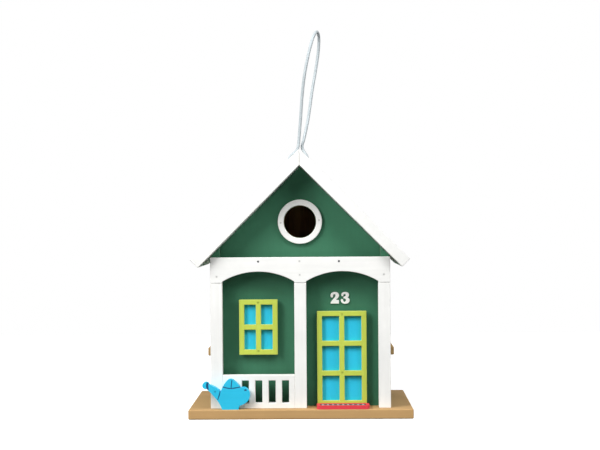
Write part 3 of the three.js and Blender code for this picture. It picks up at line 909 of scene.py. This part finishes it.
class BIRDHOUSE_OT_entrance_ring(bpy.types.Operator):
    """Make the ring round the entrance"""

    bl_idname = "birdhouse.entrance_ring"
    bl_label = "Entrance ring"

    def execute(self, context):
        sizes, paints = context.scene.birdhouse_sizes, context.scene.birdhouse_paints
        low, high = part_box("entrance_ring")
        x, z = (low.x + high.x) / 2, (low.z + high.z) / 2
        ring = rod("entrance_ring_finished", "Y", (high.x - low.x) / 2, (x, low.y, z), (x, high.y, z), 144)
        carve(ring, [drill("eye", low, high, x, z, sizes.ring_eye / 2, 128)])
        give(ring, *coats("White", paints.white, "X", 0.6))
        ease(ring, 0.7 * MM, 4, 1)
        carve(ring, brad_seats("entrance_ring"))
        settle(smooth(ring), "entrance_ring")
        return {"FINISHED"}


def pane_cutters(low, high, axis, columns, rows, stile, bar):
    """Boxes for the openings of a lattice that lies across X or Y."""
    across, thick = ("x", "y") if axis == "X" else ("y", "x")
    start, end = getattr(low, across), getattr(high, across)
    width = (end - start - 2 * stile - (columns - 1) * bar) / columns
    height = (high.z - low.z - 2 * stile - (rows - 1) * bar) / rows
    cutters = []
    for column in range(columns):
        for row in range(rows):
            near = start + stile + column * (width + bar)
            foot = low.z + stile + row * (height + bar)
            a, b = Vector((0, 0, foot)), Vector((0, 0, foot + height))
            setattr(a, across, near)
            setattr(b, across, near + width)
            setattr(a, thick, getattr(low, thick) - CLEAR)
            setattr(b, thick, getattr(high, thick) + CLEAR)
            cutters.append(block("pane", a, b))
    return cutters


class BIRDHOUSE_OT_joinery(bpy.types.Operator):
    """Make the window, the door and the thinner side windows"""

    bl_idname = "birdhouse.joinery"
    bl_label = "Window and door"

    def execute(self, context):
        sizes, paints = context.scene.birdhouse_sizes, context.scene.birdhouse_paints
        lime = coats("Yellow-green", paints.lime, "Z", 0.5)
        blue = coats("Sky blue", paints.blue, "Z", 0.48)
        for name, axis, columns, rows, stile, bar, edge in (
            ("window_{}", "X", 2, 2, sizes.stile, sizes.bar, sizes.board_edge),
            ("door_{}", "X", 2, 3, sizes.stile, sizes.bar, sizes.board_edge),
            ("side_window_{}_left", "Y", 2, 2, sizes.side_stile, sizes.side_stile, 0.3 * MM),
        ):
            frame_node, panes_node = name.format("frame"), name.format("panes")
            low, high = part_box(frame_node)
            lattice = block(f"{frame_node}_finished", low, high)
            carve(lattice, pane_cutters(low, high, axis, columns, rows, stile, bar))
            give(lattice, *lime)
            ease(lattice, edge, 3, 1)
            if frame_node in BRADS_IN:
                carve(lattice, brad_seats(frame_node))
            panes = give(block(f"{panes_node}_finished", *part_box(panes_node)), *blue)
            ease(panes, 0.25 * MM, 2, 1)
            pairs = [(smooth(lattice), frame_node), (smooth(panes), panes_node)]
            if axis == "Y":
                pairs += [(mirrored(piece, f"{node.replace('left', 'right')}_finished"),
                           node.replace("left", "right")) for piece, node in pairs]
            for piece, node in pairs:
                settle(piece, node)
        return {"FINISHED"}


class BIRDHOUSE_OT_door_mat(bpy.types.Operator):
    """Make the door mat with its inlaid strip of raised marks"""

    bl_idname = "birdhouse.door_mat"
    bl_label = "Door mat"

    def execute(self, context):
        paints = context.scene.birdhouse_paints
        low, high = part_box("door_mat")
        inlay_low, inlay_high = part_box("mat_inlay")
        corner, gap = 3 * MM, 0.3 * MM
        mat = block("door_mat_finished", low, high)
        choose(mat, "EDGE", lambda a, b: abs(a.z - b.z) > MM)
        bpy.ops.mesh.bevel(offset=corner, segments=8, affect="EDGES")
        choose(mat, "FACE", lambda centre, normal: normal.z > 0.9)
        bpy.ops.mesh.inset(thickness=inlay_low.x - low.x - gap)
        bpy.ops.mesh.extrude_region_move(
            TRANSFORM_OT_translate={"value": (0, 0, inlay_low.z - high.z)})
        bpy.ops.object.mode_set(mode="OBJECT")
        give(mat, *coats("Red", paints.red, "X", 0.6))
        ease(mat, 0.6 * MM, 4, 1)
        settle(smooth(mat), "door_mat")

        raised = 0.1 * MM                 # height of the marks over the strip
        strip = block("mat_inlay_finished", inlay_low, inlay_high - Vector((0, 0, raised)))
        give(strip, *coats("Teal", paints.teal, "X", 0.6))
        ease(strip, 0.15 * MM, 2, 1)
        settle(smooth(strip), "mat_inlay")

        marks = self.marks(inlay_low, inlay_high)
        give(marks, painted_wood("Pale teal", paints.pale, "X", 0.6))
        attach(smooth(marks), "mat_inlay")
        return {"FINISHED"}

    @staticmethod
    def marks(low, high):
        """A row of raised lozenges, each between two short bars, whose feet are sunk in the strip."""
        middle = (low + high) / 2
        count, thick = 9, 0.35 * MM
        pitch = (high.x - low.x) / count
        top, bottom = high.z, high.z - thick
        lozenge = 0.3 * pitch             # half its diagonal
        dash_out = 0.36 * (high.y - low.y)
        dash_half = Vector((0.2 * pitch, 0.3 * MM, thick / 2))
        pieces = []
        for i in range(count):
            centre = Vector((low.x + (i + 0.5) * pitch, middle.y, (top + bottom) / 2))
            pieces.append(rod("lozenge", "Z", lozenge, (centre.x, centre.y, bottom),
                              (centre.x, centre.y, top), 4))
            for sign in (-1, 1):
                dash = centre + Vector((0, sign * dash_out, 0))
                pieces.append(block("dash", dash - dash_half, dash + dash_half))
        marks = joined(pieces)
        marks.name = "mat_marks"
        return ease(marks, 0.12 * MM, 2)


class BIRDHOUSE_OT_watering_can(bpy.types.Operator):
    """Make the flat watering can with its incised and painted lines"""

    bl_idname = "birdhouse.watering_can"
    bl_label = "Watering can"

    # Lines on the face and half their widths, in millimetres from the can's lower left corner.
    LINES = (
        (0.55, ((20.0, 22.2), (21.5, 21.9), (24.5, 21.1), (28.3, 20.8), (33.0, 21.3), (37.2, 22.2))),
        (0.5, ((29.2, 28.9), (28.7, 25.0), (28.3, 20.6))),
        (0.5, ((17.8, 18.8), (16.6, 14.0), (15.1, 9.7))),
        (1.1, ((5.6, 27.2), (4.9, 23.3), (5.6, 19.4))),
        (0.8, ((41.3, 18.8), (42.4, 19.1), (43.5, 18.8))),
    )

    def execute(self, context):
        paints = context.scene.birdhouse_paints
        low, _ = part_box("watering_can")
        can = copy_of_node("watering_can", "watering_can_finished")
        give(can, *coats("Sky blue", paints.blue, "X", 0.48))
        ease(can, 0.9 * MM, 4, 1)
        navy = painted_wood("Dark blue", paints.navy, "X", 0.5)
        for half, points in self.LINES:
            route = [(low.x + x * MM, low.y, low.z + z * MM) for x, z in points]
            carve(can, [give(tube("line", smooth_route(route, 0.8 * MM), half * MM, 12), navy)])
        carve(can, brad_seats("watering_can"))
        settle(smooth(can), "watering_can")
        return {"FINISHED"}


class BIRDHOUSE_OT_house_number(bpy.types.Operator):
    """Make the two figures of the house number"""

    bl_idname = "birdhouse.house_number"
    bl_label = "House number"

    def execute(self, context):
        paints = context.scene.birdhouse_paints
        for node in ("house_number_2", "house_number_3"):
            figure = copy_of_node(node, f"{node}_finished")
            give(figure, *coats("White", paints.white, "X", 0.6))
            ease(figure, 0.35 * MM, 3, 1)
            settle(smooth(figure, 50), node)
        return {"FINISHED"}


class BIRDHOUSE_OT_hatch(bpy.types.Operator):
    """Make the clean-out hatch, its hinges, the turn button and their screws"""

    bl_idname = "birdhouse.hatch"
    bl_label = "Clean-out hatch"

    def execute(self, context):
        sizes, paints = context.scene.birdhouse_sizes, context.scene.birdhouse_paints
        zinc = plated_metal("Zinc-plated steel", paints.zinc, 0.34)
        steel = plated_metal("Bright drawn steel", paints.steel, 0.3)

        low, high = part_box("cleanout_hatch")
        hatch = give(block("cleanout_hatch_finished", low, high),
                     *coats("Green", paints.green, "Z", 0.66), bare_pine(paints.pine, "Z"))
        ease(hatch, sizes.board_edge, 3, 1)
        repaint(hatch, 2, lambda centre, normal: abs(centre.y - low.y) < FLAT)
        settle(smooth(hatch), "cleanout_hatch")

        self.hinges(zinc, steel)
        self.turn_button(paints, zinc)
        return {"FINISHED"}

    @staticmethod
    def hinges(zinc, steel):
        """Two leaves that share a pin: two knuckles on the wall's leaf and one on the hatch's."""
        pin_low, pin_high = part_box("hinge_pin_left")
        axis = (pin_low + pin_high) / 2
        corner = 1.6 * MM
        plate_gap, lap = 2.1 * MM, 0.2 * MM       # from the axis to a plate, and of a strap over its plate
        barrel_radius, bore = 1.7 * MM, 1.0 * MM
        screw_radius, screw_out, screw_up = 1.7 * MM, 4.8 * MM, 6.2 * MM
        # Each leaf's knuckles run between these distances along the pin, in millimetres from its middle.
        knuckles = {"wall": ((-8, -3.4), (3.4, 8)), "hatch": ((-3.1, 3.1),)}
        made = []
        for leaf, stretches in knuckles.items():
            node = f"hinge_{leaf}_leaf_left"
            low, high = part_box(node)
            back = low.y + HINGE_PLATE
            up = 1 if leaf == "wall" else -1
            far = high.z if up > 0 else low.z
            near = axis.z + up * plate_gap
            plate = block(f"{node}_finished", (low.x, low.y, min(near, far)), (high.x, back, max(near, far)))
            choose(plate, "EDGE", lambda a, b: abs(a.z - far) < FLAT and abs(b.z - far) < FLAT
                   and abs(a.y - b.y) > FLAT)
            bpy.ops.mesh.bevel(offset=corner, segments=6, affect="EDGES")
            bpy.ops.object.mode_set(mode="OBJECT")
            for start, end in stretches:
                start, end = axis.x + start * MM, axis.x + end * MM
                edge = near + up * lap
                strap = block("strap", (start, low.y, min(axis.z, edge)), (end, back, max(axis.z, edge)))
                barrel = rod("barrel", "X", barrel_radius, (start, axis.y, axis.z), (end, axis.y, axis.z), 40)
                fuse(plate, fuse(strap, barrel))
            carve(plate, [rod("bore", "X", bore, (low.x - CLEAR, axis.y, axis.z),
                              (high.x + CLEAR, axis.y, axis.z), 32)])
            give(plate, zinc)
            made.append((smooth(ease(plate, 0.15 * MM, 2)), node))
            for sign, which in ((-1, "left"), (1, "right")):
                place = (axis.x + sign * screw_out, axis.z + up * screw_up)
                name = f"{leaf}_leaf_left_screw_{which}"
                made.append((make_screw(name, place, back, screw_radius, zinc), node))
        pin = rod("hinge_pin_left_finished", "X", (pin_high.z - pin_low.z) / 2,
                  (pin_low.x, axis.y, axis.z), (pin_high.x, axis.y, axis.z), 32)
        give(pin, steel)
        made.append((smooth(ease(pin, 0.3 * MM, 3)), "hinge_pin_left"))

        shift = centre_of("hinge_pin_right") - centre_of("hinge_pin_left")
        made += [(copied(piece, piece.name.replace("left", "right", 1), shift), node.replace("left", "right"))
                 for piece, node in made]
        for piece, node in made:
            if "screw" in piece.name:
                attach(piece, node)
            else:
                settle(piece, node)

    @staticmethod
    def turn_button(paints, zinc):
        """A small wooden bar with round ends, on one round-headed screw."""
        low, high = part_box("turn_button")
        bore, shank_radius = 1.5 * MM, 1.2 * MM
        dome = 1.5 * MM                   # height of the screw's round head
        slot_depth, slot_half = 0.8 * MM, 0.35 * MM
        button = block("turn_button_finished", low, high)
        choose(button, "EDGE", lambda a, b: abs(a.y - b.y) > MM)
        bpy.ops.mesh.bevel(offset=(high.x - low.x) / 2 - 0.02 * MM, segments=12, affect="EDGES")
        bpy.ops.object.mode_set(mode="OBJECT")
        centre = centre_of("turn_button_screw")
        carve(button, [drill("bore", low, high, centre.x, centre.z, bore, 32)])
        give(button, *coats("White", paints.white, "Z", 0.6))
        ease(button, 0.6 * MM, 3, 1)
        settle(smooth(button), "turn_button")

        screw_low, screw_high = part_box("turn_button_screw")
        radius = (screw_high.x - screw_low.x) / 2
        brim = screw_high.y - dome
        clear_selection()
        bpy.ops.mesh.primitive_uv_sphere_add(segments=40, ring_count=20, radius=1,
                                             location=(centre.x, brim, centre.z),
                                             scale=(radius, dome, radius))
        head = named("turn_button_screw_finished")
        saw(head, (centre.x, brim, centre.z), (0, -1, 0))
        shank = rod("shank", "Y", shank_radius, (centre.x, screw_low.y, centre.z),
                    (centre.x, brim + dome / 3, centre.z), 24)
        fuse(head, shank)
        slot = block("slot", (centre.x - radius, screw_high.y - slot_depth, centre.z - slot_half),
                     (centre.x + radius, screw_high.y + MM, centre.z + slot_half))
        carve(head, [slot])
        give(head, zinc)
        ease(head, 0.1 * MM, 2)
        settle(smooth(head), "turn_button_screw")


class BIRDHOUSE_OT_brads(bpy.types.Operator):
    """Make the brads that hold the trim"""

    bl_idname = "birdhouse.brads"
    bl_label = "Brads"

    def execute(self, context):
        paints = context.scene.birdhouse_paints
        steel = plated_metal("Bright drawn steel", paints.steel, 0.3)
        # A painted brad's head is drawn in a darker shade of its board's paint.
        white, lime, blue = (shade(colour, 0.72) for colour in (paints.white, paints.lime, paints.blue))
        dab = {"porch_beam": ("Thin white", white), "entrance_ring": ("Thin white", white),
               "window_frame": ("Thin yellow-green", lime), "door_frame": ("Thin yellow-green", lime),
               "watering_can": ("Thin sky blue", blue)}
        first = BRADS_IN["porch_beam"][0]
        pattern = make_brad(first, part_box("porch_beam")[0].y)
        for board, nodes in BRADS_IN.items():
            for node in nodes:
                shift = centre_of(node) - centre_of(first)
                brad = pattern if node == first else copied(pattern, f"{node}_finished", shift)
                give(brad, steel if node in BARE_BRADS else painted_wood(*dab[board], "X"))
        for nodes in BRADS_IN.values():
            for node in nodes:
                settle(bpy.data.objects[f"{node}_finished"], node)
        return {"FINISHED"}


# ---------------------------------------------------------------- panel and registration

STEPS = (BIRDHOUSE_OT_stage, BIRDHOUSE_OT_cord, BIRDHOUSE_OT_base, BIRDHOUSE_OT_walls, BIRDHOUSE_OT_roof,
         BIRDHOUSE_OT_porch, BIRDHOUSE_OT_entrance_ring, BIRDHOUSE_OT_joinery, BIRDHOUSE_OT_door_mat,
         BIRDHOUSE_OT_watering_can, BIRDHOUSE_OT_house_number, BIRDHOUSE_OT_hatch, BIRDHOUSE_OT_brads)


class BIRDHOUSE_PT_panel(bpy.types.Panel):
    """Lists the birdhouse's steps, sizes and paints"""

    bl_idname = "BIRDHOUSE_PT_panel"
    bl_label = "Birdhouse"
    bl_space_type = "VIEW_3D"
    bl_region_type = "UI"
    bl_category = "Birdhouse"

    def draw(self, context):
        for step in STEPS:
            self.layout.operator(step.bl_idname)
        for group in (context.scene.birdhouse_sizes, context.scene.birdhouse_paints):
            for name in group.__annotations__:
                self.layout.prop(group, name)


CLASSES = (BirdhouseSizes, BirdhousePaints, *STEPS, BIRDHOUSE_PT_panel)


def register():
    for kind in CLASSES:
        bpy.utils.register_class(kind)
    bpy.types.Scene.birdhouse_sizes = bpy.props.PointerProperty(type=BirdhouseSizes)
    bpy.types.Scene.birdhouse_paints = bpy.props.PointerProperty(type=BirdhousePaints)


def unregister():
    del bpy.types.Scene.birdhouse_paints
    del bpy.types.Scene.birdhouse_sizes
    for kind in reversed(CLASSES):
        bpy.utils.unregister_class(kind)


def main():
    register()
    for step in STEPS:
        _, name = step.bl_idname.split(".")
        getattr(bpy.ops.birdhouse, name)()


if __name__ == "__main__":
    main()
